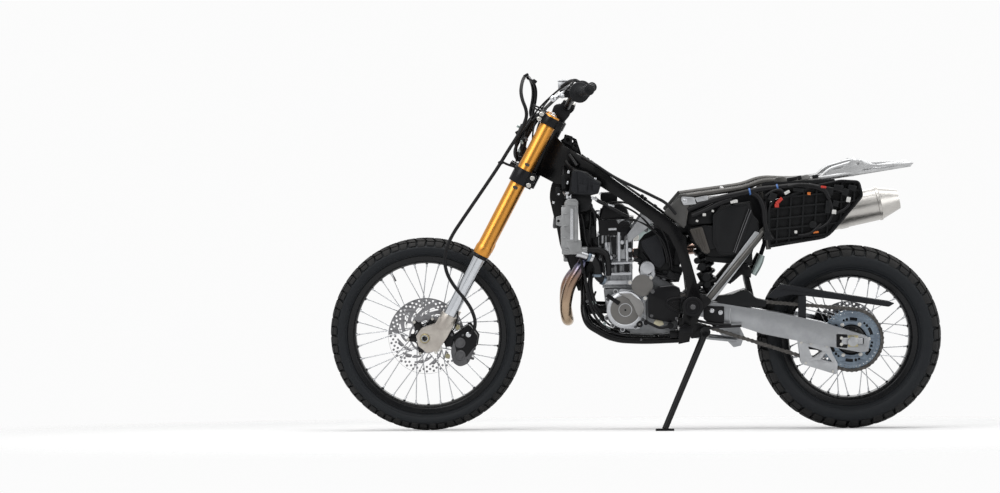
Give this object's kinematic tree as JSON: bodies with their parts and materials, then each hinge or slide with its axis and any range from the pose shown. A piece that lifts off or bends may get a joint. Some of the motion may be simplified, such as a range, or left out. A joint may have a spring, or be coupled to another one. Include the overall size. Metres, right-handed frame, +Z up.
{
  "type": "dual sport motorcycle",
  "caption": "Motorcycle without bodywork: steel frame, engine, upside-down fork that steers, spoked wheels that turn, chain drive, exhaust, tail frame and a side stand that folds.",
  "frame": {"origin": "centre of the bounding box on the ground, with the machine leaning on its side stand", "axes": "+X toward the rear wheel, -Y toward the machine's left side, to which it leans, +Z up"},
  "size_m": [2.1728, 0.8244, 1.2788],
  "materials": {
    "frame_black": "satin black paint",
    "grey_alloy": "bare cast alloy",
    "brushed_alloy": "brushed alloy",
    "engine_alloy": "cast alloy",
    "black_parts": "satin black",
    "gold": "gold anodised",
    "chrome": "hard chrome",
    "steel": "brushed steel",
    "hub_alloy": "black anodised",
    "spring": "pale paint",
    "tyre": "rubber",
    "radiator": "bare cores",
    "rubber": "black rubber",
    "plastic": "moulded black"
  },
  "bodies": {
    "chassis": {"airbox": "plastic", "chain": "steel", "chain_guards": "plastic", "crankcase": "engine_alloy", "cylinder": "engine_alloy", "cylinder_head": "engine_alloy", "cylinder_head_cover": "black_parts", "down_tube_and_cradle": "frame_black", "electrical_parts": "plastic", "engine_side_covers": "engine_alloy", "exhaust_pipe": "steel", "foot_controls": "frame_black", "frame_cross_members": "frame_black", "front_sprocket": "steel", "hoses_and_cables": "rubber", "inner_mud_flap": "rubber", "left_radiator": "radiator", "left_spar": "frame_black", "left_subframe_rail": "grey_alloy", "muffler_and_bracket": "steel", "rear_axle_and_adjusters": "grey_alloy", "rear_brake": "black_parts", "right_radiator": "radiator", "right_spar": "frame_black", "right_subframe_rail": "grey_alloy", "shock_absorber": "black_parts", "shock_spring": "spring", "starter_and_gear_cover": "engine_alloy", "steering_head": "frame_black", "subframe_struts_and_ties": "brushed_alloy", "suspension_linkage": "brushed_alloy", "swingarm": "brushed_alloy", "swingarm_pivot_bolt": "steel", "tail_tray": "plastic", "throttle_body": "engine_alloy"},
    "steering": {"upper_clamp_and_risers": "black_parts", "lower_clamp_and_stem": "black_parts", "fork_outer_tubes": "gold", "fork_inner_tubes": "chrome", "fork_axle_clamps": "grey_alloy", "front_axle": "grey_alloy", "handlebar": "black_parts", "handlebar_grips": "rubber", "handlebar_controls": "black_parts", "hand_levers": "brushed_alloy", "front_caliper": "black_parts", "front_brake_hose": "rubber"},
    "front_wheel": {"front_hub": "hub_alloy", "front_rim": "hub_alloy", "front_spokes": "steel", "front_tyre": "tyre", "front_brake_disc": "steel"},
    "rear_wheel": {"rear_hub": "hub_alloy", "rear_rim": "hub_alloy", "rear_spokes": "steel", "rear_tyre": "tyre", "rear_brake_disc": "steel", "rear_sprocket": "steel"},
    "side_stand": {"side_stand": "frame_black"}
  },
  "joints": [
    {"name": "steering_turn", "type": "hinge", "parent": "chassis", "child": "steering", "pos_m": [-0.32607, 0.0291, 0.99284], "axis": [0.4664, -0.1231, 0.876], "range_deg": [-43, 43]},
    {"name": "front_wheel_spin", "type": "hinge", "parent": "steering", "child": "front_wheel", "pos_m": [-0.74148, 0.12055, 0.34213], "axis": [0, 0.9903, 0.1392], "continuous": true},
    {"name": "rear_wheel_spin", "type": "hinge", "parent": "chassis", "child": "rear_wheel", "pos_m": [0.75852, 0.12288, 0.32554], "axis": [0, 0.9903, 0.1392], "continuous": true},
    {"name": "side_stand_fold", "type": "hinge", "parent": "chassis", "child": "side_stand", "pos_m": [0.24152, -0.02647, 0.33915], "axis": [0, -0.99, 0.1409], "range_deg": [0, 133]}
  ]
}
